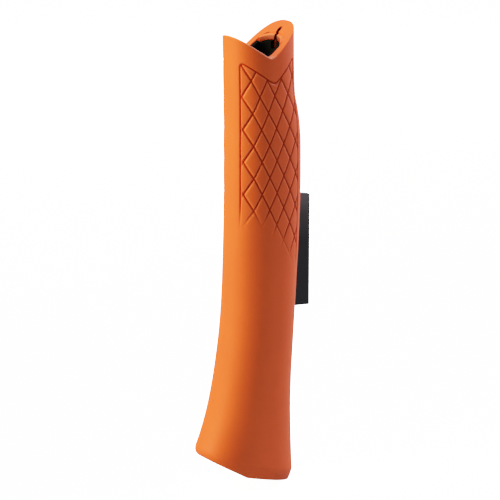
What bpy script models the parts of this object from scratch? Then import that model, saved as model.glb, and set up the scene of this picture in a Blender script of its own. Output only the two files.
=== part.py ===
"""Slip-on moulded tool grip: an oval rubber sleeve with a flared butt and a
V-shaped mouth, a socket liner inside it, and a flat plate standing along its
spine.

Frame: the world origin is the middle of the socket's flat floor, where the end
of the tool's tang comes to rest.  +Z runs along the grip, out of the mouth.
-Y is the front (the flared toe), +Y is the spine, and X is the thickness.

Dimensions are in millimetres and become metres when a mesh is built.  Heights
(H) are measured from the level where the sole passes HEEL_Y.
"""
import math
from bisect import bisect_left

import bmesh
import bpy
from mathutils import Matrix

MM = 0.001

# ------------------------------------------------------------ shared sizes
SOCKET_FLOOR = 27.0          # H of the world origin
GAP = 0.3                    # clearance between separate pieces
CREASE_ANGLE = math.radians(35)    # sharper edges are shaded sharp

# ------------------------------------------------------------------ sleeve
SECTION_POWER = 2.4          # superellipse power: 2 is an ellipse
SECTION_POINTS = 64

# H, front edge Y, spine edge Y, half thickness X
STATIONS = [
    (-8.0, -41.0, 16.15, 16.35),
    (0.0, -38.6, 15.75, 16.15),
    (12.0, -34.6, 15.05, 15.85),
    (24.0, -29.1, 14.45, 15.55),
    (36.0, -24.9, 14.15, 15.25),
    (48.0, -22.0, 14.45, 14.95),
    (60.0, -19.8, 15.15, 14.75),
    (72.0, -18.1, 15.95, 14.55),
    (84.0, -17.0, 16.75, 14.35),
    (96.0, -16.4, 17.5, 14.2),
    (108.0, -16.0, 18.4, 14.05),
    (124.0, -15.6, 19.25, 13.9),
    (142.0, -15.4, 19.85, 13.8),
    (156.0, -15.4, 19.8, 13.7),
    (166.0, -15.3, 19.1, 13.6),
    (174.0, -15.3, 17.7, 13.45),
    (180.0, -15.35, 16.4, 13.3),
    (192.0, -15.55, 15.95, 13.05),
    (204.0, -15.8, 15.9, 12.9),
    (220.0, -16.1, 15.9, 12.85),
]

# Spacing of the lofted sections, closer at the flare and where the spine dips.
RING_STEP, FINE_RING_STEP = 10.0, 6.0
FLARE_TOP = 30
DIP_LOW, DIP_HIGH = 160, 190

# Mouth: a V cut straight through the thickness, deepest a little forward of
# the middle, with the rear arm a little steeper than the front one.
VALLEY_Y, VALLEY_H = -1.6, 197.55
VALLEY_ROUND = 1.6           # rounding length at the bottom of the V
VALLEY_PULL = 0.55           # share of VALLEY_ROUND taken off the distance
FRONT_ARM = (0.72, 0.003)    # rise per mm, and its growth per mm squared
REAR_ARM = (0.765, 0.003)
MOUTH_START_Y, MOUTH_STEP, MOUTH_POINTS = -26, 0.9, 58
MOUTH_CUT_TOP = 240.0
MOUTH_CUT_HALF_X = 24

# Butt: a chamfer under the toe, then one flat sloping sole out to the heel.
SOLE_FRONT_Y, SOLE_FRONT_H = -17.6, 7.0
HEEL_Y = 4.7                 # where the sole passes H = 0
CHAMFER_SLOPE = 0.62
BUTT_CUT_FRONT, BUTT_CUT_BACK = -60, 40
BUTT_CUT_BOTTOM = -30.0
BUTT_CUT_HALF_X = 26

# ------------------------------------------------------------------- liner
SOCKET_POWER = 3.0           # hole and liner are squarer than the sleeve
HOLE_X, HOLE_Y = 9.0, 10.4   # half sizes of the hole through the sleeve
HOLE_POINTS = 40
HOLE_CUT_TOP = 232
LINER_BOTTOM = 24.0          # H of the liner's closed end
LINER_X, LINER_Y = HOLE_X - GAP, HOLE_Y - GAP
LINER_BLANK_TOP = 225
LINER_WALL = 1.7
BORE_POINTS = 36
BORE_CUT_TOP = 235
LINER_BELOW_RIM = 0.4        # the liner stops this far under the V
LINER_CUT_EDGE_Y = 24        # front and back reach of the cut over the liner
NOTCH_Y = 5.5                # behind this the liner is cut to clear the web

# ----------------------------------------------------------- web and split
# Locating web: a shelf across the rear of the mouth.  Its inner edge is given
# from near the side wall to the middle, its back from the middle outwards.
WEB_EDGE = [(7.6, 5.9), (4.4, 8.5), (0.0, 9.4)]
WEB_BACK = [(6.4, 11.8), (9.6, 8.0)]
WEB_EDGE_Y = WEB_EDGE[0][1]
WEB_BOTTOM, WEB_TOP = 200.9, 203.3       # at WEB_EDGE_Y
WEB_RISE = 0.5                           # per mm towards the spine

# A split runs through the middle of the web and the liner, wider in the liner
# so that the sleeve's own edges show there.
SPLIT_WIDTH, LINER_SPLIT_WIDTH = 2.0, 4.0
SPLIT_FRONT, SPLIT_BACK = 7.0, 12.9
SPLIT_BOTTOM, SPLIT_CUT_TOP = 198.8, 232

# ------------------------------------------------------------- spine plate
# A flat web standing out of the sleeve, on a wider foot trapped between the
# sleeve and the liner.  Heights are given at the foot's outer face; both ends
# fall a little towards the plate's outer edge.
PLATE_LOW, PLATE_HIGH = 79.15, 133.45
FALL_LOW, FALL_HIGH = 0.11, 0.21         # per mm towards +Y
PLATE_HALF_X = 2.4 / 2
PLATE_EDGE_Y = 28.1
FOOT_HALF_X, FOOT_INNER_Y, FOOT_OUTER_Y = 4.5, 10.45, 12.2
POCKET_INNER_Y, POCKET_OUTER_Y = 8.0, 32.0
EDGE_EASE = 0.3

# Mesh clean-up after extruding
WELD_DISTANCE = 1e-6         # metres
FLAT_ANGLE = 0.001           # radians; flatter edges are dissolved


# ------------------------------------------------------------------- scene
def collection(name):
    col = bpy.data.collections.new(name)
    bpy.context.scene.collection.children.link(col)
    return col


for old in list(bpy.data.objects):
    bpy.data.objects.remove(old, do_unlink=True)
parts = collection("tool_grip")
cutters = collection("grip_cutters")
frame = bpy.data.objects.new("grip_frame", None)
frame.location = (0, 0, -SOCKET_FLOOR * MM)
parts.objects.link(frame)


# ----------------------------------------------------------------- helpers
def add_mesh(name, mesh, col):
    obj = bpy.data.objects.new(name, mesh)
    col.objects.link(obj)
    obj.parent = frame
    return obj


def filled_curve_mesh(name, outline, depth):
    """Mesh of a closed XY outline, thickened by depth evenly about Z = 0."""
    curve = bpy.data.curves.new(name + "_outline", "CURVE")
    curve.dimensions = "2D"
    curve.fill_mode = "BOTH"
    curve.extrude = depth / 2 * MM
    spline = curve.splines.new("POLY")
    spline.points.add(len(outline) - 1)
    for point, (u, v) in zip(spline.points, outline):
        point.co = (u * MM, v * MM, 0, 1)
    spline.use_cyclic_u = True
    guide = bpy.data.objects.new(name + "_guide", curve)
    bpy.context.scene.collection.objects.link(guide)
    bpy.context.view_layer.update()
    graph = bpy.context.evaluated_depsgraph_get()
    mesh = bpy.data.meshes.new_from_object(guide.evaluated_get(graph))
    bpy.data.objects.remove(guide, do_unlink=True)
    bpy.data.curves.remove(curve)
    mesh.name = name
    return mesh


def extruded(name, outline, low, high, along="Z", col=parts):
    """Solid prism: an (x, y) outline along Z, or a (y, H) outline along X."""
    mesh = filled_curve_mesh(name, outline, high - low)
    middle = (low + high) / 2 * MM
    if along == "Z":
        place = Matrix.Translation((0, 0, middle))
    else:
        place = Matrix(((0, 0, 1, middle), (1, 0, 0, 0), (0, 1, 0, 0), (0, 0, 0, 1)))
    bm = bmesh.new()
    bm.from_mesh(mesh)
    bmesh.ops.transform(bm, matrix=place, verts=bm.verts)
    bmesh.ops.remove_doubles(bm, verts=bm.verts, dist=WELD_DISTANCE)
    bmesh.ops.dissolve_limit(bm, angle_limit=FLAT_ANGLE, verts=bm.verts, edges=bm.edges)
    bmesh.ops.recalc_face_normals(bm, faces=bm.faces)
    bm.to_mesh(mesh)
    bm.free()
    return add_mesh(name, mesh, col)


def cutter(name, outline, low, high, along="Z"):
    """Extruded helper for a boolean, kept out of renders."""
    obj = extruded(name, outline, low, high, along, cutters)
    obj.hide_render = True
    obj.display_type = "WIRE"
    return obj


def boolean(target, tool, operation="DIFFERENCE"):
    mod = target.modifiers.new(tool.name, "BOOLEAN")
    mod.operation = operation
    mod.solver = "EXACT"
    mod.object = tool


def finish(obj, mat):
    obj.data.materials.append(mat)
    obj.data.shade_smooth()
    obj.data.set_sharp_from_angle(angle=CREASE_ANGLE)


def material(name, colour, roughness):
    mat = bpy.data.materials.new(name)
    mat.use_nodes = True
    bsdf = mat.node_tree.nodes["Principled BSDF"]
    bsdf.inputs["Base Color"].default_value = (*colour, 1)
    bsdf.inputs["Roughness"].default_value = roughness
    return mat


# ---------------------------------------------------------------- outlines
def superellipse(half_x, half_y, centre_y, power, count):
    points = []
    for i in range(count):
        angle = 2 * math.pi * i / count
        cosine, sine = math.cos(angle), math.sin(angle)
        points.append((
            half_x * math.copysign(abs(cosine) ** (2 / power), cosine),
            centre_y + half_y * math.copysign(abs(sine) ** (2 / power), sine),
        ))
    return points


def mirrored(points):
    """The points reflected in X, in reverse order."""
    return [(-x, y) for x, y in reversed(points)]


def tee_outline(foot_half, web_half, inner_y, shoulder_y, outer_y):
    """A wide foot from inner_y to shoulder_y, then a thin web to outer_y."""
    return [
        (-foot_half, inner_y), (foot_half, inner_y),
        (foot_half, shoulder_y), (web_half, shoulder_y),
        (web_half, outer_y), (-web_half, outer_y),
        (-web_half, shoulder_y), (-foot_half, shoulder_y),
    ]


def rim_height(y):
    """Height of the V at y, with the bottom of the V rounded."""
    offset = y - VALLEY_Y
    rise, growth = REAR_ARM if offset > 0 else FRONT_ARM
    distance = math.sqrt(offset * offset + VALLEY_ROUND**2) - VALLEY_ROUND * VALLEY_PULL
    return VALLEY_H + rise * distance + growth * distance * distance


def sole_height(y):
    return SOLE_FRONT_H * (HEEL_Y - y) / (HEEL_Y - SOLE_FRONT_Y)


def chamfer_height(y):
    return SOLE_FRONT_H + CHAMFER_SLOPE * (SOLE_FRONT_Y - y)


# ------------------------------------------------------------------ sleeve
def monotone_cubic(xs, ys, x):
    """Interpolate ys over xs without overshooting the given values."""
    secants = [(ys[i + 1] - ys[i]) / (xs[i + 1] - xs[i]) for i in range(len(xs) - 1)]
    tangents = [secants[0]]
    for before, after in zip(secants, secants[1:]):
        same_sign = before * after > 0
        tangents.append(2 * before * after / (before + after) if same_sign else 0.0)
    tangents.append(secants[-1])

    k = max(bisect_left(xs, x) - 1, 0)
    width = xs[k + 1] - xs[k]
    u = (x - xs[k]) / width
    return (
        (2 * u**3 - 3 * u**2 + 1) * ys[k]
        + (u**3 - 2 * u**2 + u) * width * tangents[k]
        + (-2 * u**3 + 3 * u**2) * ys[k + 1]
        + (u**3 - u**2) * width * tangents[k + 1]
    )


def ring_heights():
    top = STATIONS[-1][0]
    heights = [STATIONS[0][0]]
    while heights[-1] < top:
        last = heights[-1]
        fine = last < FLARE_TOP or DIP_LOW < last < DIP_HIGH
        heights.append(min(last + (FINE_RING_STEP if fine else RING_STEP), top))
    return heights


def build_skin():
    """Loft through the stations, a little long at both ends for trimming."""
    station_heights, *columns = zip(*STATIONS)
    bm = bmesh.new()
    rings = []
    for height in ring_heights():
        front, back, half_x = (monotone_cubic(station_heights, column, height)
                               for column in columns)
        section = superellipse(half_x, (back - front) / 2, (back + front) / 2,
                               SECTION_POWER, SECTION_POINTS)
        rings.append([bm.verts.new((x * MM, y * MM, height * MM)) for x, y in section])
    for low, high in zip(rings, rings[1:]):
        for i in range(SECTION_POINTS):
            j = (i + 1) % SECTION_POINTS
            bm.faces.new((low[i], low[j], high[j], high[i]))
    bm.faces.new(rings[0][::-1])
    bm.faces.new(rings[-1])
    mesh = bpy.data.meshes.new("grip_skin")
    bm.to_mesh(mesh)
    bm.free()
    return add_mesh("grip_skin", mesh, parts)


def mouth_cutter():
    """Everything above the V."""
    ys = [MOUTH_START_Y + MOUTH_STEP * i for i in range(MOUTH_POINTS)]
    outline = [(y, rim_height(y)) for y in ys]
    outline += [(ys[-1], MOUTH_CUT_TOP), (ys[0], MOUTH_CUT_TOP)]
    return cutter("mouth_cut", outline, -MOUTH_CUT_HALF_X, MOUTH_CUT_HALF_X, "X")


def butt_cutter():
    """Everything below the chamfer and the sole."""
    outline = [
        (BUTT_CUT_FRONT, chamfer_height(BUTT_CUT_FRONT)),
        (SOLE_FRONT_Y, SOLE_FRONT_H),
        (BUTT_CUT_BACK, sole_height(BUTT_CUT_BACK)),
        (BUTT_CUT_BACK, BUTT_CUT_BOTTOM),
        (BUTT_CUT_FRONT, BUTT_CUT_BOTTOM),
    ]
    return cutter("butt_cut", outline, -BUTT_CUT_HALF_X, BUTT_CUT_HALF_X, "X")


def socket_cutter():
    """The blind hole that takes the liner."""
    outline = superellipse(HOLE_X, HOLE_Y, 0, SOCKET_POWER, HOLE_POINTS)
    return cutter("socket_cut", outline, LINER_BOTTOM - GAP, HOLE_CUT_TOP)


def slope_ends(obj):
    """Let the two ends of the plate or its pocket fall towards +Y."""
    middle = (PLATE_LOW + PLATE_HIGH) / 2 * MM
    for vertex in obj.data.vertices:
        fall = FALL_HIGH if vertex.co.z > middle else FALL_LOW
        vertex.co.z -= fall * (vertex.co.y - FOOT_OUTER_Y * MM)


def plate_cutter():
    """Pocket for the plate's foot, open to the hole, and the slot for its web."""
    outline = tee_outline(FOOT_HALF_X + GAP, PLATE_HALF_X + GAP,
                          POCKET_INNER_Y, FOOT_OUTER_Y + GAP, POCKET_OUTER_Y)
    pocket = cutter("plate_cut", outline, PLATE_LOW - GAP, PLATE_HIGH + GAP)
    slope_ends(pocket)
    return pocket


def locating_web():
    """The shelf, sheared so that it rises towards the spine."""
    outline = WEB_EDGE + mirrored(WEB_EDGE[:-1]) + mirrored(WEB_BACK) + WEB_BACK
    web = cutter("locating_web", outline, WEB_BOTTOM, WEB_TOP)
    lean = Matrix.Identity(4)
    lean[2][1] = WEB_RISE
    lean[2][3] = -WEB_RISE * WEB_EDGE_Y * MM
    web.data.transform(lean)
    return web


def split_cutter(name, width):
    """Slot at the back of the mouth."""
    half = width / 2
    outline = [(-half, SPLIT_FRONT), (half, SPLIT_FRONT),
               (half, SPLIT_BACK), (-half, SPLIT_BACK)]
    return cutter(name, outline, SPLIT_BOTTOM, SPLIT_CUT_TOP)


def build_sleeve(mat):
    skin = build_skin()
    finish(skin, mat)
    boolean(skin, mouth_cutter())
    boolean(skin, butt_cutter())
    boolean(skin, socket_cutter())
    boolean(skin, plate_cutter())
    boolean(skin, locating_web(), "UNION")
    boolean(skin, split_cutter("split_cut", SPLIT_WIDTH))


# ------------------------------------------------------------------- liner
def liner_top_cutter():
    """Follows the V, then drops to a sloping notch under the web."""
    ys = range(-LINER_CUT_EDGE_Y, math.ceil(NOTCH_Y))
    outline = [(y, rim_height(y) - LINER_BELOW_RIM) for y in ys]
    for y in (NOTCH_Y, LINER_CUT_EDGE_Y):
        outline.append((y, WEB_BOTTOM - GAP + WEB_RISE * (y - WEB_EDGE_Y)))
    outline += [(LINER_CUT_EDGE_Y, MOUTH_CUT_TOP), (-LINER_CUT_EDGE_Y, MOUTH_CUT_TOP)]
    return cutter("liner_top_cut", outline, -MOUTH_CUT_HALF_X, MOUTH_CUT_HALF_X, "X")


def build_liner(mat):
    """A straight cup, trimmed at the top."""
    outer = superellipse(LINER_X, LINER_Y, 0, SOCKET_POWER, HOLE_POINTS)
    liner = extruded("socket_liner", outer, LINER_BOTTOM, LINER_BLANK_TOP)
    finish(liner, mat)
    bore = superellipse(LINER_X - LINER_WALL, LINER_Y - LINER_WALL, 0,
                        SOCKET_POWER, BORE_POINTS)
    boolean(liner, cutter("tang_cut", bore, SOCKET_FLOOR, BORE_CUT_TOP))
    boolean(liner, liner_top_cutter())
    boolean(liner, split_cutter("liner_split_cut", LINER_SPLIT_WIDTH))


# ------------------------------------------------------------- spine plate
def build_plate(mat):
    """Web and foot in one piece, with eased edges."""
    outline = tee_outline(FOOT_HALF_X, PLATE_HALF_X,
                          FOOT_INNER_Y, FOOT_OUTER_Y, PLATE_EDGE_Y)
    plate = extruded("spine_plate", outline, PLATE_LOW, PLATE_HIGH)
    slope_ends(plate)
    ease = plate.modifiers.new("eased_edges", "BEVEL")
    ease.width = EDGE_EASE * MM
    ease.segments = 2
    ease.limit_method = "ANGLE"
    finish(plate, mat)


build_sleeve(material("orange_rubber", colour=(0.83, 0.21, 0.035), roughness=0.62))
build_liner(material("black_nylon", colour=(0.012, 0.012, 0.013), roughness=0.45))
build_plate(material("black_plate", colour=(0.03, 0.03, 0.029), roughness=0.4))
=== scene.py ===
"""The looks of the slip-on tool grip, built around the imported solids.

The grip stands upright: heights are millimetres above a datum near the heel,
and the row's origin is the socket floor.  -Y is the front, +Y the spine, and
the two sides face -X and +X.  Sizes are millimetres up to the stage section.
"""

import math

import bmesh
import bpy
import numpy as np
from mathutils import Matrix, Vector
from mathutils.kdtree import KDTree


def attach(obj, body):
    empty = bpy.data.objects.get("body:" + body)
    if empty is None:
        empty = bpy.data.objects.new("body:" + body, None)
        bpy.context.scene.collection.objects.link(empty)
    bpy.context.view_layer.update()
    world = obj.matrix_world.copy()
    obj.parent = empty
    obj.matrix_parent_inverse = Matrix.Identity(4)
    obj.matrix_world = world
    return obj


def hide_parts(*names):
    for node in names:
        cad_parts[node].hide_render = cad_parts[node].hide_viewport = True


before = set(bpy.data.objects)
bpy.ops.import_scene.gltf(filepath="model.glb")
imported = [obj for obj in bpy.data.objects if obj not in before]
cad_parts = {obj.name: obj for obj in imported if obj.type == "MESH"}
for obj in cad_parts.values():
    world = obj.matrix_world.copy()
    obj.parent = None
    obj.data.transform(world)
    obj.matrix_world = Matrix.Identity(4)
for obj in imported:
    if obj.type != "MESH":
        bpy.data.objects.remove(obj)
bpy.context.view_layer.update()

MM = 0.001
SOCKET_FLOOR = 27.0
CORE_BOTTOM = 24.0
GAP = 0.3                          # clearance round the inner solids
SECTION_POWER = 2.4                # squareness of the outer oval
SOCKET_POWER = 3.0
# Outer section: height, front y, back y, half width.
STATIONS = np.array([
    (-8.0, -41.0, 16.15, 16.35), (0.0, -38.6, 15.75, 16.15),
    (12.0, -34.6, 15.05, 15.85), (24.0, -29.1, 14.45, 15.55),
    (36.0, -24.9, 14.15, 15.25), (48.0, -22.0, 14.45, 14.95),
    (60.0, -19.8, 15.15, 14.75), (72.0, -18.1, 15.95, 14.55),
    (84.0, -17.0, 16.75, 14.35), (96.0, -16.4, 17.5, 14.2),
    (108.0, -16.0, 18.4, 14.05), (124.0, -15.6, 19.25, 13.9),
    (142.0, -15.4, 19.85, 13.8), (156.0, -15.4, 19.8, 13.7),
    (166.0, -15.3, 19.1, 13.6), (174.0, -15.3, 17.7, 13.45),
    (180.0, -15.35, 16.4, 13.3), (192.0, -15.55, 15.95, 13.05),
    (204.0, -15.8, 15.9, 12.9), (220.0, -16.1, 15.9, 12.85),
])
# The mouth is a V seen from the side: slope and growth of slope of each arm.
VALLEY_Y, VALLEY_HEIGHT, VALLEY_ROUND = -1.6, 197.55, 1.6
FRONT_ARM = (0.72, 0.003)
REAR_ARM = (0.765, 0.003)
RIM_ROUND, INNER_ROUND = 0.6, 0.4
# The butt: a sloping sole with a chamfer at the front.
SOLE_FRONT_Y, SOLE_FRONT_HEIGHT = -17.6, 7.0
HEEL_Y = 4.7
CHAMFER_SLOPE = 0.62
SOLE_MIDDLE_Y = -9.0
BUTT_EDGE_IN, BUTT_EDGE_UP, HEEL_EXTRA_UP = 2.1, 3.6, 3.0
HOLE_HALF_X, HOLE_HALF_Y = 9.0, 10.4
# The web bridges the back of the mouth: right half of its outline (x, y).
WEB_EDGE = [(7.6, 5.9), (4.4, 8.5), (0.0, 9.4)]
WEB_BACK = [(6.4, 11.8), (9.6, 8.0)]
WEB_BOTTOM, WEB_TOP = 200.9, 203.3
WEB_SLOPE, WEB_BEVEL = 0.5, 0.4
# The split runs back through the web, flared where it starts.
SPLIT_WIDTH, SPLIT_BACK_Y, SPLIT_BOTTOM, SPLIT_TOP = 2.0, 12.9, 198.8, 232
FLARE_Y, FLARE_LENGTH, FLARE_EXTRA, FLARE_POWER, FLARE_STEPS = 7.4, 1.9, 0.8, 2.4, 6
# The spine plate's slot; its ends fall by these slopes towards the back.
PLATE_LOW, PLATE_HIGH = 79.15, 133.45
FALL_LOW, FALL_HIGH = 0.11, 0.21
PLATE_THICK = 2.4
FOOT_HALF, FOOT_BACK_Y = 4.5, 12.2
SLOT_FRONT_Y, SLOT_BACK_Y = 8, 32
# Rows and columns of the skin.
AROUND = 384
LEVEL_FINE, LEVEL_TOP = 98, 205
LEVELS = np.concatenate([np.linspace(0, LEVEL_FINE, 46)[:-1],
                         np.linspace(LEVEL_FINE, LEVEL_TOP, 388)])
BUTT_BLEND_TOP, MOUTH_BLEND_LOW = 60, 150
WALL_DEPTHS = (0.3, 0.7, 1.4, 2.4, 4, 7, 12, 25, 60, 110, 150)


# ------------------------------------------------------------ shape functions
def station(height, column):
    """Smooth curve without overshoot through one column of STATIONS."""
    knots, values = STATIONS[:, 0], STATIONS[:, column]
    secants = np.diff(values) / np.diff(knots)
    tangents = np.zeros(len(knots))
    tangents[0], tangents[-1] = secants[0], secants[-1]
    for i in range(1, len(knots) - 1):
        below, above = secants[i - 1], secants[i]
        tangents[i] = 0.0 if below * above <= 0 else 2 * below * above / (below + above)
    height = np.clip(np.asarray(height, float), knots[0], knots[-1])
    k = np.clip(np.searchsorted(knots, height, side="left") - 1, 0, len(knots) - 2)
    span = knots[k + 1] - knots[k]
    u = (height - knots[k]) / span
    return ((2 * u**3 - 3 * u**2 + 1) * values[k]
            + (u**3 - 2 * u**2 + u) * span * tangents[k]
            + (-2 * u**3 + 3 * u**2) * values[k + 1]
            + (u**3 - u**2) * span * tangents[k + 1])


def oval(angle, half_x, half_y, centre_y, power):
    cos, sin = np.cos(angle), np.sin(angle)
    return (half_x * np.sign(cos) * np.abs(cos) ** (2 / power),
            centre_y + half_y * np.sign(sin) * np.abs(sin) ** (2 / power))


def outer(angle, height):
    front, back, half = (station(height, column) for column in (1, 2, 3))
    return oval(angle, half, (back - front) / 2, (back + front) / 2, SECTION_POWER)


def rim_height(y):
    run = np.asarray(y, float) - VALLEY_Y
    slope = np.where(run > 0, REAR_ARM[0], FRONT_ARM[0])
    growth = np.where(run > 0, REAR_ARM[1], FRONT_ARM[1])
    run = np.sqrt(run * run + VALLEY_ROUND**2) - VALLEY_ROUND * 0.55
    return VALLEY_HEIGHT + slope * run + growth * run * run


def butt_height(y):
    """The higher of sole and chamfer, with a slight blend between them."""
    y = np.asarray(y, float)
    sole = SOLE_FRONT_HEIGHT * (HEEL_Y - y) / (HEEL_Y - SOLE_FRONT_Y) - 0.45
    chamfer = SOLE_FRONT_HEIGHT + CHAMFER_SLOPE * (SOLE_FRONT_Y - y)
    blend = 0.08
    return 0.5 * (sole + chamfer + np.sqrt((sole - chamfer) ** 2 + blend * blend))


def smoothstep(start, end, x):
    u = np.clip((x - start) / (end - start), 0, 1)
    return u * u * (3 - 2 * u)


def bezier_rows(start, control, end, steps):
    return [(1 - s) ** 2 * start + 2 * s * (1 - s) * control + s * s * end for s in steps]


def web_edge_y(x):
    """The web's inner edge, one curve through the three points of WEB_EDGE."""
    (end_x, end_y), (knee_x, knee_y), (_, middle_y) = WEB_EDGE
    power = math.log((middle_y - end_y) / (middle_y - knee_y)) / math.log(end_x / knee_x)
    return middle_y - (middle_y - end_y) * abs(x / end_x) ** power


# ------------------------------------------------------------------- quilting
# Diamond cells on both sides, laid out in height and in `around`: distance
# round the side from its widest point towards the spine.
CELL_AROUND, CELL_HEIGHT = 3.72, 7.3
CELL_START, CELL_START_HEIGHT = 2.09, 159.4
LAST_CROSSING = CELL_START - 4 * CELL_AROUND
FRONT_CROSSING = -17.75
SWELL_SHIFT, SWELL_CENTRE_Y = 0.44, 1.9     # correction for the palm swell
GROOVE_HALF, GROOVE_DEPTH = 0.56, 0.52
PANEL_SINK, PILLOW_RISE, PILLOW_REACH = 0.12, 0.14, 1.6
LIP_OFFSET, LIP_WIDTH, LIP_RISE = 0.72, 0.2, 0.04
BORDER_X = 6.15
REAR_BORDER, REAR_BORDER_SHIFT = 11.5, 1.2
PANEL_VALLEY_Y, PANEL_VALLEY_HEIGHT, PANEL_VALLEY_ROUND = -0.4, 186.3, 1.2
FRONT_CORNER, REAR_CORNER = 2.0, 0.8        # radii of the panel's top corners
FADE_HEIGHT, FADE_SLOPE = 115.5, 1.15       # where the quilting dies out below
FADE_BELOW, FADE_ABOVE = 3.0, 11.0


def groove(distance):
    """Rounded V, 1 on its line and 0 from half a width out."""
    v = 1 - np.clip(np.abs(distance) / GROOVE_HALF, 0, 1)
    return v * v * (3 - 2 * v) * 0.45 + v * 0.55


def lip_beside(distance):
    return np.exp(-((distance - LIP_OFFSET) / LIP_WIDTH) ** 2)


def panel_top(y):
    run = y - PANEL_VALLEY_Y
    slope = np.where(run > 0, 0.93, 0.76)
    rounding = np.sqrt(run * run + PANEL_VALLEY_ROUND**2) - 0.6
    return PANEL_VALLEY_HEIGHT + slope * rounding


def rounded_corner(first, second, radius):
    """Distance inside two crossing borders, with their corner rounded."""
    u, v = np.maximum(radius - first, 0), np.maximum(radius - second, 0)
    return np.where((u > 0) & (v > 0), radius - np.hypot(u, v), np.minimum(first, second))


def quilt(x, y, height, arc, centre_y):
    """How far the surface sinks at each point, how much of that is groove,
    and where the thin raised lip beside the grooves is."""
    around = arc + SWELL_SHIFT * (centre_y - SWELL_CENTRE_Y)
    # the crossing grooves end a little short of the front border
    ends = smoothstep(FRONT_CROSSING - 0.65, FRONT_CROSSING - 0.15, around)
    rear_in = REAR_BORDER - REAR_BORDER_SHIFT * smoothstep(168, 186, height) - around
    # the front column of cells is stretched
    stretched = (LAST_CROSSING + (around - LAST_CROSSING) * CELL_AROUND
                 / (LAST_CROSSING - FRONT_CROSSING))
    around = np.where(around < LAST_CROSSING, stretched, around)
    column = (around - CELL_START) / CELL_AROUND
    row = (height - CELL_START_HEIGHT) / CELL_HEIGHT
    scale = 1 / math.hypot(1 / CELL_AROUND, 1 / CELL_HEIGHT)
    near_line = scale * np.minimum(np.abs((column + row + 1) % 2 - 1),
                                   np.abs((column - row + 1) % 2 - 1))
    # distances inside the front, top and rear borders; the rear has no front border
    front_in = np.where(arc < 0, np.abs(x) - BORDER_X, 40.0)
    roof_in = (panel_top(y) - height) * np.where(y > PANEL_VALLEY_Y, 0.732, 0.796)
    inside = np.minimum(rounded_corner(front_in, roof_in, FRONT_CORNER),
                        rounded_corner(rear_in, roof_in, REAR_CORNER))
    fade_at = FADE_HEIGHT - FADE_SLOPE * np.clip(y, -6.5, 14)
    fade = smoothstep(fade_at - FADE_BELOW, fade_at + FADE_ABOVE, height)
    field = smoothstep(0.0, 0.30, inside)
    line = np.maximum(groove(near_line) * field * ends, groove(inside)) * fade
    pillow = PILLOW_RISE * smoothstep(0.0, PILLOW_REACH, near_line) * field
    lip = (np.maximum(lip_beside(near_line) * field * ends, lip_beside(inside))
           * (1 - line) * fade)
    # the whole panel sits a hair below the plain rubber round it
    sink = line * GROOVE_DEPTH + (field * PANEL_SINK - pillow) * fade - LIP_RISE * lip
    return sink, line, lip


# ------------------------------------------------------------- the fine skin
def link_object(name, data):
    obj = bpy.data.objects.new(name, data)
    bpy.context.scene.collection.objects.link(obj)
    return obj


def grid_mesh(name, rows, start_pole, end_pole):
    """Closed mesh from rings of points, first ring to last, capped at two poles."""
    count, size = len(rows), len(rows[0])
    points = np.vstack(rows + [np.array([start_pole, end_pole])])
    i = np.arange(size)
    j = (i + 1) % size
    quads = np.vstack([np.stack([k * size + i, k * size + j,
                                 (k + 1) * size + j, (k + 1) * size + i], 1)
                       for k in range(count - 1)])
    start_fan = np.stack([np.full(size, count * size), j, i], 1)
    last = (count - 1) * size
    end_fan = np.stack([np.full(size, count * size + 1), last + i, last + j], 1)
    loops = np.concatenate([quads.ravel(), start_fan.ravel(), end_fan.ravel()])
    starts = np.concatenate([np.arange(len(quads)) * 4,
                             len(quads) * 4 + np.arange(2 * size) * 3]).astype(np.int32)
    mesh = bpy.data.meshes.new(name)
    mesh.vertices.add(len(points))
    mesh.vertices.foreach_set("co", (points * MM).astype(np.float32).ravel())
    mesh.loops.add(len(loops))
    mesh.loops.foreach_set("vertex_index", loops.astype(np.int32))
    mesh.polygons.add(len(starts))
    mesh.polygons.foreach_set("loop_start", starts)
    mesh.update(calc_edges=True)
    mesh.validate()
    return mesh


def section_angles():
    """Steps round the palm section, fine on the quilted sides and coarser between
    them, starting at the middle of the front so that both sides are alike."""
    fine = np.linspace(-math.pi / 2, 1.5 * math.pi, 7201)
    x, y = outer(fine, np.full_like(fine, 150.0))
    length = np.hypot(np.diff(x), np.diff(y))
    middle_x, middle_y = (x[1:] + x[:-1]) / 2, (y[1:] + y[:-1]) / 2
    quilted = smoothstep(4.4, 5.4, np.abs(middle_x)) * smoothstep(17.0, 15.5, middle_y)
    run = np.concatenate([[0], np.cumsum(length * (0.36 + 0.64 * quilted))])
    return np.interp(np.arange(AROUND) * run[-1] / AROUND, run, fine)


def edge_height(height_of_y, guess):
    """Height at which the outer surface meets a profile given over y."""
    height = np.full(AROUND, guess)
    for _ in range(30):
        height = height_of_y(outer(ANGLES, height)[1])
    return height


ANGLES = section_angles()
top = edge_height(rim_height, 205.0)
low = edge_height(butt_height, 5.0)
heel = smoothstep(-34, -12, outer(ANGLES, low)[1])     # 0 at the toe, 1 at the heel


def side_height(level):
    """Blends the slanted butt edge into level rows and then into the V."""
    lower = low + (BUTT_EDGE_UP + HEEL_EXTRA_UP * heel)
    upper = top - RIM_ROUND
    blend = smoothstep(MOUTH_BLEND_LOW, LEVEL_TOP, level)
    height = level
    if level < BUTT_BLEND_TOP:
        height = lower + level * (BUTT_BLEND_TOP - lower) / BUTT_BLEND_TOP
    return height * (1 - blend) + (upper - (LEVEL_TOP - level) * 0.94) * blend


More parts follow.
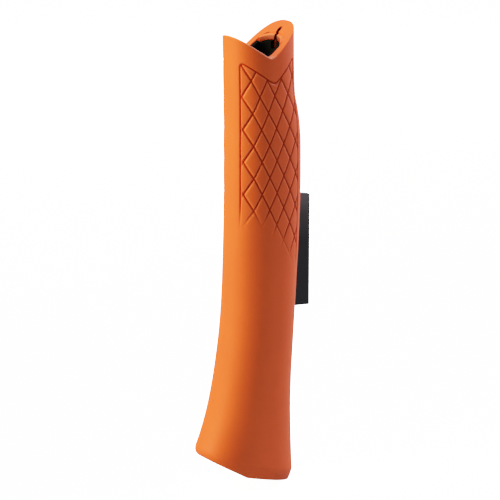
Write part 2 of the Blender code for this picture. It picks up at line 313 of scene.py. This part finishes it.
def side_surface():
    """Quilted side rows, with their groove and lip amounts."""
    heights = np.array([side_height(level) for level in LEVELS])
    heights = np.maximum.accumulate(heights, axis=0)
    x, y = outer(np.broadcast_to(ANGLES, heights.shape), heights)
    # arc along the section from its widest point, signed towards the spine
    step = np.hypot(np.diff(np.concatenate([x, x[:, :1]], 1), axis=1),
                    np.diff(np.concatenate([y, y[:, :1]], 1), axis=1))
    walk = np.concatenate([np.zeros((len(x), 1)), np.cumsum(step, 1)], 1)[:, :AROUND]
    widest = np.array([[np.interp(0.0, ANGLES, row)] for row in walk])
    arc = np.where(ANGLES < math.pi / 2, walk, step.sum(1, keepdims=True) - walk) - widest
    centre_y = (station(heights, 1) + station(heights, 2)) / 2
    sink, line, lip = quilt(x, y, heights, arc, centre_y)
    plain = np.stack([x, y, heights], -1)
    normal = np.cross(np.roll(plain, -1, axis=1) - np.roll(plain, 1, axis=1),
                      np.gradient(plain, axis=0))
    normal /= np.linalg.norm(normal, axis=2, keepdims=True)
    return plain - normal * sink[..., None], line, lip


def butt_rows(side_start):
    """Underside from the middle out to a crisp line, then the edge that curves
    up to the side: low at the toe, taller round the heel."""
    edge_x, edge_y = outer(ANGLES, low)
    corner = np.stack([edge_x, edge_y, low], 1)
    inward = np.stack([-edge_x, SOLE_MIDDLE_Y - edge_y, np.zeros(AROUND)], 1)
    inward /= np.linalg.norm(inward, axis=1, keepdims=True)
    foot = corner + inward * BUTT_EDGE_IN
    rows = []
    for s in np.concatenate([np.linspace(0.04, 0.9, 12), [0.97, 1.0]]):
        y = SOLE_MIDDLE_Y + (foot[:, 1] - SOLE_MIDDLE_Y) * s
        rows.append(np.stack([foot[:, 0] * s, y, butt_height(y)], 1))
    bend = corner + (side_start - corner) * (0.2 + 0.45 * heel)[:, None]
    return rows + bezier_rows(rows[-1], bend, side_start, np.linspace(0, 1, 13)[1:-1])


def mouth_rows(side_end):
    """Outer rounding, the flat of the V, inner rounding, then the socket."""
    rim_x, rim_y = outer(ANGLES, top)
    hole_x, hole_y = oval(ANGLES, HOLE_HALF_X, HOLE_HALF_Y, 0.0, SOCKET_POWER)
    outer_edge = np.stack([rim_x, rim_y, top], 1)
    inner_edge = np.stack([hole_x, hole_y, rim_height(hole_y)], 1)
    across = inner_edge - outer_edge
    width = np.linalg.norm(across, axis=1, keepdims=True)
    across /= width

    def on_rim(distance):
        points = outer_edge + across * distance
        points[:, 2] = rim_height(points[:, 1])
        return points

    def ring(height, scale=1.0):
        return np.stack([hole_x * scale, hole_y * scale, np.full(AROUND, height)], 1)

    rows = bezier_rows(side_end, outer_edge, on_rim(RIM_ROUND), np.linspace(0, 1, 7)[1:])
    rows += [on_rim(RIM_ROUND + (width - RIM_ROUND - INNER_ROUND) * s)
             for s in np.linspace(0, 1, 9)[1:-1]]
    wall_top = inner_edge - np.array([0, 0, INNER_ROUND])
    rows += bezier_rows(on_rim(width - INNER_ROUND), inner_edge, wall_top,
                        np.linspace(0, 1, 7))
    rows += [ring(np.maximum(wall_top[:, 2] - depth, CORE_FLOOR + 10))
             for depth in WALL_DEPTHS]
    return rows + [ring(CORE_FLOOR + 5), ring(CORE_FLOOR), ring(CORE_FLOOR, 0.5)]


CORE_FLOOR = CORE_BOTTOM - GAP
TO_ORIGIN = np.array([0, 0, SOCKET_FLOOR])
side, side_line, side_lip = side_surface()
skin_rows = butt_rows(side[0]) + list(side) + mouth_rows(side[-1])
skin = link_object("grip_skin_fine", grid_mesh(
    "grip_skin_fine", [row - TO_ORIGIN for row in skin_rows],
    (0, SOLE_MIDDLE_Y, float(butt_height(SOLE_MIDDLE_Y)) - SOCKET_FLOOR),
    (0, 0, CORE_FLOOR - SOCKET_FLOOR)))


# -------------------------------------------------- features cut into the skin
def mirrored(points):
    return [(-x, y) for x, y in reversed(points)]


def prism(outline, bottom, height_top):
    solid = bmesh.new()
    ring = [solid.verts.new((x * MM, y * MM, (bottom - SOCKET_FLOOR) * MM))
            for x, y in outline]
    face = solid.faces.new(ring)
    out = bmesh.ops.extrude_face_region(solid, geom=[face])
    lifted = [item for item in out["geom"] if isinstance(item, bmesh.types.BMVert)]
    bmesh.ops.translate(solid, verts=lifted, vec=(0, 0, (height_top - bottom) * MM))
    bmesh.ops.recalc_face_normals(solid, faces=solid.faces)
    return solid


def join(name, solids):
    whole = bmesh.new()
    for solid in solids:
        mesh = bpy.data.meshes.new("tmp")
        solid.to_mesh(mesh)
        solid.free()
        whole.from_mesh(mesh)
        bpy.data.meshes.remove(mesh)
    mesh = bpy.data.meshes.new(name)
    whole.to_mesh(mesh)
    whole.free()
    return link_object(name, mesh)


def plate_slot():
    """T-shaped slot in the spine: a wide foot in front of a thin plate."""
    foot, plate = FOOT_HALF + GAP, PLATE_THICK / 2 + GAP
    foot_back = FOOT_BACK_Y + GAP
    corners = [(foot, foot_back), (plate, foot_back), (plate, SLOT_BACK_Y)]
    solid = prism([(-foot, SLOT_FRONT_Y), (foot, SLOT_FRONT_Y)] + corners + mirrored(corners),
                  PLATE_LOW - GAP, PLATE_HIGH + GAP)
    middle = ((PLATE_LOW + PLATE_HIGH) / 2 - SOCKET_FLOOR) * MM
    for vert in solid.verts:
        fall = FALL_HIGH if vert.co.z > middle else FALL_LOW
        vert.co.z -= fall * (vert.co.y - FOOT_BACK_Y * MM)
    return solid


def mouth_split():
    half = SPLIT_WIDTH / 2
    flare = [(half + FLARE_EXTRA * (1 - k / FLARE_STEPS) ** FLARE_POWER,
              FLARE_Y + FLARE_LENGTH * k / FLARE_STEPS) for k in range(FLARE_STEPS + 1)]
    tip = [(half * math.cos(angle), SPLIT_BACK_Y - half + half * math.sin(angle))
           for angle in np.linspace(0, math.pi, 13)]
    return prism(flare + tip + mirrored(flare), SPLIT_BOTTOM, SPLIT_TOP)


def mouth_web():
    """Web with its inner edge and ends bevelled, sloping up to the back."""
    end_x, end_y = WEB_EDGE[0]
    curve = [(x, web_edge_y(x)) for x in np.linspace(end_x, -end_x, 21)]
    solid = prism(curve + mirrored(WEB_BACK) + WEB_BACK, WEB_BOTTOM, WEB_TOP)
    bevelled = curve + [WEB_BACK[1], mirrored(WEB_BACK)[0]]

    def on_bevel(vert):
        return min(math.hypot(vert.co.x / MM - x, vert.co.y / MM - y)
                   for x, y in bevelled) < 0.001

    def is_level_or_end(start, end):
        return (abs(start.co.z - end.co.z) < 1e-6
                or abs(abs(start.co.x) / MM - end_x) < 0.001)

    edges = [edge for edge in solid.edges
             if all(on_bevel(vert) for vert in edge.verts) and is_level_or_end(*edge.verts)]
    bmesh.ops.bevel(solid, geom=edges, offset=WEB_BEVEL * MM, segments=5, profile=0.5,
                    affect="EDGES")
    for vert in solid.verts:
        vert.co.z += WEB_SLOPE * (vert.co.y - end_y * MM)
    return solid


def apply_tools():
    cut = join("skin_cuts", [plate_slot(), mouth_split()])
    add = join("skin_web", [mouth_web()])
    for tool, operation in ((add, "UNION"), (cut, "DIFFERENCE")):
        modifier = skin.modifiers.new(tool.name, "BOOLEAN")
        modifier.operation, modifier.object, modifier.solver = operation, tool, "EXACT"
    bpy.context.view_layer.update()
    graph = bpy.context.evaluated_depsgraph_get()
    mesh = bpy.data.meshes.new_from_object(skin.evaluated_get(graph))
    skin.modifiers.clear()
    skin.data = mesh
    for tool in (add, cut):
        bpy.data.objects.remove(tool, do_unlink=True)


apply_tools()


# ------------------------------------------- attributes that paint shade and highlights on the rubber
def in_mm(point):
    return point[0] / MM, point[1] / MM, point[2] / MM + SOCKET_FLOOR


def groove_and_lip_highlight():
    """Groove depth at each vertex, and the painted highlight on the lip beside it."""
    tree = KDTree(side.shape[0] * side.shape[1])
    for k, point in enumerate((side - TO_ORIGIN).reshape(-1, 3) * MM):
        tree.insert(point, k)
    tree.balance()
    line, lip = side_line.ravel(), side_lip.ravel()
    depth, edge = np.zeros((2, len(skin.data.vertices)), np.float32)
    for vert in skin.data.vertices:
        _, nearest, distance = tree.find(vert.co)
        if distance < 0.02 * MM:
            depth[vert.index] = line[nearest]
            # painted highlight along the raised lip beside each groove
            edge[vert.index] = 0.27 * lip[nearest]
    return depth, edge


def add_mouth_highlights(edge):
    """Painted highlights on rounded edges: the outer one along the V's front arm, and the web's
    lip.
    """
    end_x, end_y = WEB_EDGE[0]
    for vert in skin.data.vertices:
        x, y, height = in_mm(vert.co)
        under = float(rim_height(y)) - height
        from_hole = (abs(x) / HOLE_HALF_X) ** SOCKET_POWER + (abs(y) / HOLE_HALF_Y) ** SOCKET_POWER
        if y < 3 and -0.05 < under < 0.45 and from_hole > 1.5:
            edge[vert.index] = smoothstep(2.0, -3.0, y) * (1.0 if under > 0.03 else 0.3)
        if abs(x) < end_x and 5.5 < y < web_edge_y(x) + 0.5:
            if -0.05 < WEB_TOP + WEB_SLOPE * (y - end_y) - height < 0.7:
                edge[vert.index] = 0.22


def inner_shade(face):
    """Painted shade: 1 on the faces inside the split, less on the web's inner face."""
    x, y, height = in_mm(face.center)
    normal_y, normal_z = face.normal[1], face.normal[2]
    mouth_wall = y < 11.5 and normal_y < -0.7 and height > 205.0
    if (height > SPLIT_BOTTOM - 0.1 and abs(normal_z) < 0.2
            and FLARE_Y < y < SPLIT_BACK_Y + 0.1 and abs(x) < 1.9 and not mouth_wall):
        return 1.0
    if (height > 199 and abs(normal_z) < 0.45 and normal_y < -0.2
            and 5.7 < y < 9.7 and abs(x) < 7.7):
        return 0.78 if normal_z < 0.2 else 0.3
    return 0.0


def add_attribute(name, domain, values):
    attribute = skin.data.attributes.new(name, "FLOAT", domain)
    attribute.data.foreach_set("value", values)


groove_depth, painted_highlight = groove_and_lip_highlight()
add_mouth_highlights(painted_highlight)
add_attribute("groove", "POINT", groove_depth)
add_attribute("edge", "POINT", painted_highlight)
add_attribute("inside", "FACE",
              np.array([inner_shade(face) for face in skin.data.polygons], np.float32))
skin.data.shade_smooth()
skin.data.set_sharp_from_angle(angle=math.radians(52))


# ----------------------------------------------------------------- materials
RUBBER_LOW, RUBBER_HIGH = (0.78, 0.092, 0.011), (0.85, 0.104, 0.013)
# painted highlight tone for the groove lips and the mouth's edges
HIGHLIGHT_TONE = (1.0, 0.36, 0.18)
# painted shade tint for the grooves and crevices
GROOVE_SHADE = (0.46, 0.15, 0.05)
# painted shade tint inside the split and on the web's inner face
SPLIT_SHADE = (0.17, 0.05, 0.04)
WHITE = (1, 1, 1)


class Shader:
    """Nodes of a material or world.  In keywords _ stands for a space in an
    input's name, and a socket given as a value is linked."""

    def __init__(self, block, main_node):
        block.use_nodes = True
        self.block, self.tree = block, block.node_tree
        self.main = self.tree.nodes[main_node]

    def put(self, socket, value):
        if isinstance(value, bpy.types.NodeSocket):
            self.tree.links.new(value, socket)
        else:
            socket.default_value = value

    def fill(self, node, **values):
        for key, value in values.items():
            name = key.replace("_", " ")
            if name in node.inputs:
                self.put(node.inputs[name], value)
            else:
                setattr(node, key, value)
        return node

    def add(self, kind, output, **values):
        """Adds a node and returns one of its outputs."""
        node = self.tree.nodes.new("ShaderNode" + kind)
        return self.fill(node, **values).outputs[output]

    def combine(self, operation, first, second):
        node = self.tree.nodes.new("ShaderNodeMath")
        node.operation = operation
        self.put(node.inputs[0], first)
        self.put(node.inputs[1], second)
        return node.outputs["Value"]

    def blend(self, blend_type, first, second):
        return self.add("Mix", "Result", data_type="RGBA", blend_type=blend_type,
                        Factor=1.0, A=first, B=second)

    def ramp(self, source, *stops):
        node = self.fill(self.tree.nodes.new("ShaderNodeValToRGB"), Fac=source)
        elements = node.color_ramp.elements
        while len(elements) < len(stops):
            elements.new(0.5)
        for element, (position, colour) in zip(elements, stops):
            element.position = position
            element.color = (*colour, 1)
        return node.outputs["Color"]


def material(name):
    return Shader(bpy.data.materials.new(name), "Principled BSDF")


def add_finish(shader, where, cloud, roughness, grain_scale, bump_strength, bump_distance):
    """Cloudy roughness between two values, and a fine grain."""
    grain = shader.add("TexNoise", "Fac", Vector=where, Scale=grain_scale, Detail=3.0,
                       Roughness=0.6)
    shader.fill(
        shader.main,
        Roughness=shader.add("MapRange", "Result", Value=cloud, To_Min=roughness[0],
                             To_Max=roughness[1]),
        Normal=shader.add("Bump", "Normal", Height=grain, Strength=bump_strength,
                          Distance=bump_distance))


def rubber():
    shader = material("orange_rubber")
    where = shader.add("TexCoord", "Object")
    cloud = shader.add("TexNoise", "Fac", Vector=where, Scale=38.0, Detail=3.0, Roughness=0.55)
    speck = shader.add("TexNoise", "Fac", Vector=where, Scale=2600.0, Detail=2.0, Roughness=0.6)
    colour = shader.blend("MULTIPLY",
                          shader.ramp(cloud, (0.3, RUBBER_LOW), (0.7, RUBBER_HIGH)),
                          shader.ramp(speck, (0.35, (0.94, 0.94, 0.94)), (0.65, WHITE)))
    # painted shade: grooves and crevices go a deeper red
    groove_shade_mask = shader.add("Attribute", "Fac", attribute_name="groove")
    crevice = shader.add("AmbientOcclusion", "AO", samples=8, only_local=True, Distance=0.003)
    crevice_shade = shader.add("MapRange", "Result", Value=crevice, From_Min=0.55, From_Max=0.10)
    painted_shade = shader.combine("MAXIMUM", groove_shade_mask, crevice_shade)
    colour = shader.blend("MULTIPLY", colour,
                          shader.ramp(painted_shade, (0.25, WHITE), (0.85, GROOVE_SHADE)))
    # painted shade inside the split and on the web's inner face
    split_shade_mask = shader.add("Attribute", "Fac", attribute_name="inside")
    colour = shader.blend("MULTIPLY", colour,
                          shader.ramp(split_shade_mask, (0.0, WHITE), (1.0, SPLIT_SHADE)))
    # painted highlight: paler along the groove lips, the V's front arm and the web's lip
    pale = shader.add("Attribute", "Fac", attribute_name="edge")
    colour = shader.add("Mix", "Result", data_type="RGBA", A=colour, B=(*HIGHLIGHT_TONE, 1),
                        Factor=shader.combine("MULTIPLY", pale, 0.6))
    # the grooves are out of the sheen
    sheen = shader.add("MapRange", "Result", Value=painted_shade, To_Min=0.22, To_Max=0.0)
    shader.fill(shader.main, Base_Color=colour, Specular_IOR_Level=sheen)
    add_finish(shader, where, cloud, roughness=(0.50, 0.64), grain_scale=1700.0,
               bump_strength=0.22, bump_distance=0.00006)
    return shader.block


def black(name, low_tone, high_tone, roughness, grain_scale, specular, painted_sheen=()):
    """Black plastic; the optional ramp stops add grey from the plate's foot to its top as a
    painted sheen.
    """
    shader = material(name)
    where = shader.add("TexCoord", "Object")
    cloud = shader.add("TexNoise", "Fac", Vector=where, Scale=60.0, Detail=4.0, Roughness=0.6)
    colour = shader.ramp(cloud, (0.35, low_tone), (0.7, high_tone))
    if painted_sheen:
        span = shader.add("MapRange", "Result",
                          Value=shader.add("SeparateXYZ", "Z", Vector=where),
                          From_Min=(PLATE_LOW - SOCKET_FLOOR) * MM,
                          From_Max=(PLATE_HIGH - SOCKET_FLOOR) * MM)
        colour = shader.blend("ADD", colour, shader.ramp(span, *painted_sheen))
    shader.fill(shader.main, Base_Color=colour, Specular_IOR_Level=specular)
    add_finish(shader, where, cloud, roughness, grain_scale, bump_strength=0.2,
               bump_distance=0.00005)
    return shader.block


def dress(obj, mat):
    obj.data.materials.clear()
    obj.data.materials.append(mat)


dress(skin, rubber())
dress(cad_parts["socket_liner"],
      black("black_liner", low_tone=(0.003, 0.003, 0.0035), high_tone=(0.005, 0.005, 0.0055),
            roughness=(0.85, 0.95), grain_scale=1500.0, specular=0.01))
# the plate's painted sheen: grey added towards its top
dress(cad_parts["spine_plate"],
      black("black_plate", low_tone=(0.007, 0.006, 0.0045), high_tone=(0.0095, 0.0085, 0.007),
            roughness=(0.38, 0.5), grain_scale=1200.0, specular=0.22,
            painted_sheen=[(0.0, (0, 0, 0)), (0.55, (0.002, 0.002, 0.002)),
                  (0.78, (0.035, 0.034, 0.03)), (0.92, (0.1, 0.099, 0.09)),
                  (1.0, (0.1, 0.099, 0.09))]))
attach(skin, "root")
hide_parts("grip_skin")


# ------------------------------------------------------------ stage, in metres
FLOOR_RADIUS, FLOOR_HEIGHT = 6.0, (-SOCKET_FLOOR - 4.5) * MM
FLOOR_BOUNCE, FLOOR_SHOWN, FLOOR_LIFT = 0.36, 0.9, 2.66
SKY_LIGHT, SKY_SHOWN = 0.235, 4.0
CAMERA_AZIMUTH, CAMERA_ELEVATION, CAMERA_DISTANCE = 54.0, 16.5, 1.0
AIM_HEIGHT = (108.0 - SOCKET_FLOOR) * MM
SENSOR_WIDTH, VIEW_WIDTH = 36.0, 0.225      # sensor in mm; view is at the aim point
# Tone curve points (input, output).
SHOULDER = ((0.1, 0.4), (0.14, 0.52), (0.2375, 0.68), (0.3575, 0.83), (0.4875, 0.915),
            (0.7, 0.985))


def stage_floor():
    disc = bmesh.new()
    bmesh.ops.create_circle(disc, cap_ends=True, segments=96, radius=FLOOR_RADIUS)
    mesh = bpy.data.meshes.new("floor")
    disc.to_mesh(mesh)
    disc.free()
    obj = link_object("floor", mesh)
    obj.location = (0, 0, FLOOR_HEIGHT)
    # The floor looks pale but bounces less light than it shows, so the side
    # away from the key keeps its depth.
    shader = material("pale_floor")
    seen = shader.add("LightPath", "Is Camera Ray")
    tone = shader.add("Mix", "Result", data_type="RGBA", Factor=seen,
                      A=(FLOOR_BOUNCE,) * 3 + (1,), B=(FLOOR_SHOWN,) * 3 + (1,))
    shader.fill(shader.main, Base_Color=tone, Roughness=0.9, Specular_IOR_Level=0.05,
                Emission_Color=(1, 1, 1, 1),
                Emission_Strength=shader.combine("MULTIPLY", seen, FLOOR_LIFT))
    obj.data.materials.append(shader.block)


def studio_world():
    """A dim sky that the camera sees as bright."""
    world = bpy.data.worlds.new("studio")
    bpy.context.scene.world = world
    shader = Shader(world, "Background")
    seen = shader.add("LightPath", "Is Camera Ray")
    shader.fill(shader.main, Color=(1, 1.02, 1.45, 1),
                Strength=shader.add("MapRange", "Result", Value=seen, To_Min=SKY_LIGHT,
                                    To_Max=SKY_SHOWN))


def place(name, data, azimuth, elevation, distance, target_height):
    """Faces the Z axis.  Azimuth 0 is in front of -Y, 90 is on the +X side."""
    obj = link_object(name, data)
    turn, lift = math.radians(azimuth), math.radians(elevation)
    away = Vector((math.sin(turn) * math.cos(lift), -math.cos(turn) * math.cos(lift),
                   math.sin(lift)))
    obj.location = Vector((0, 0, target_height)) + away * distance
    obj.rotation_euler = away.to_track_quat("Z", "Y").to_euler()
    return obj


def area(name, size, power, colour, **placing):
    light = bpy.data.lights.new(name, "AREA")
    light.shape = "RECTANGLE"
    light.size, light.size_y = size
    light.energy = power
    light.color = colour
    place(name, light, **placing)


def add_camera():
    camera = bpy.data.cameras.new("camera")
    camera.sensor_width = SENSOR_WIDTH
    camera.lens = SENSOR_WIDTH * CAMERA_DISTANCE / VIEW_WIDTH
    camera.shift_x = -0.0166
    camera.clip_start = 0.01
    bpy.context.scene.camera = place("camera", camera, CAMERA_AZIMUTH, CAMERA_ELEVATION,
                                     CAMERA_DISTANCE, AIM_HEIGHT)


def set_view():
    """Standard colour with a soft shoulder, so that a bright orange rolls off
    instead of clipping."""
    view = bpy.context.scene.view_settings
    view.view_transform = "Standard"
    view.use_curve_mapping = True
    mapping = view.curve_mapping
    mapping.white_level = (4, 4, 4)
    mapping.use_clip = True
    for x, y in SHOULDER:
        mapping.curves[3].points.new(x, y)
    mapping.update()


stage_floor()
studio_world()
area("key", size=(0.45, 0.7), power=14.3, colour=(1.0, 0.97, 0.52),
     azimuth=CAMERA_AZIMUTH - 80, elevation=23, distance=0.72, target_height=0.15)
area("rear_strip", size=(0.45, 0.5), power=9.6, colour=(0.97, 1.12, 1.6),
     azimuth=CAMERA_AZIMUTH + 126, elevation=24, distance=0.85, target_height=0.165)
area("high_fill", size=(0.35, 0.3), power=0.43, colour=(1, 1, 1.15),
     azimuth=CAMERA_AZIMUTH + 50, elevation=40, distance=0.5, target_height=0.2)
area("back_top", size=(0.6, 0.3), power=4.0, colour=WHITE,
     azimuth=CAMERA_AZIMUTH + 184, elevation=52, distance=0.9, target_height=0.08)
add_camera()
set_view()
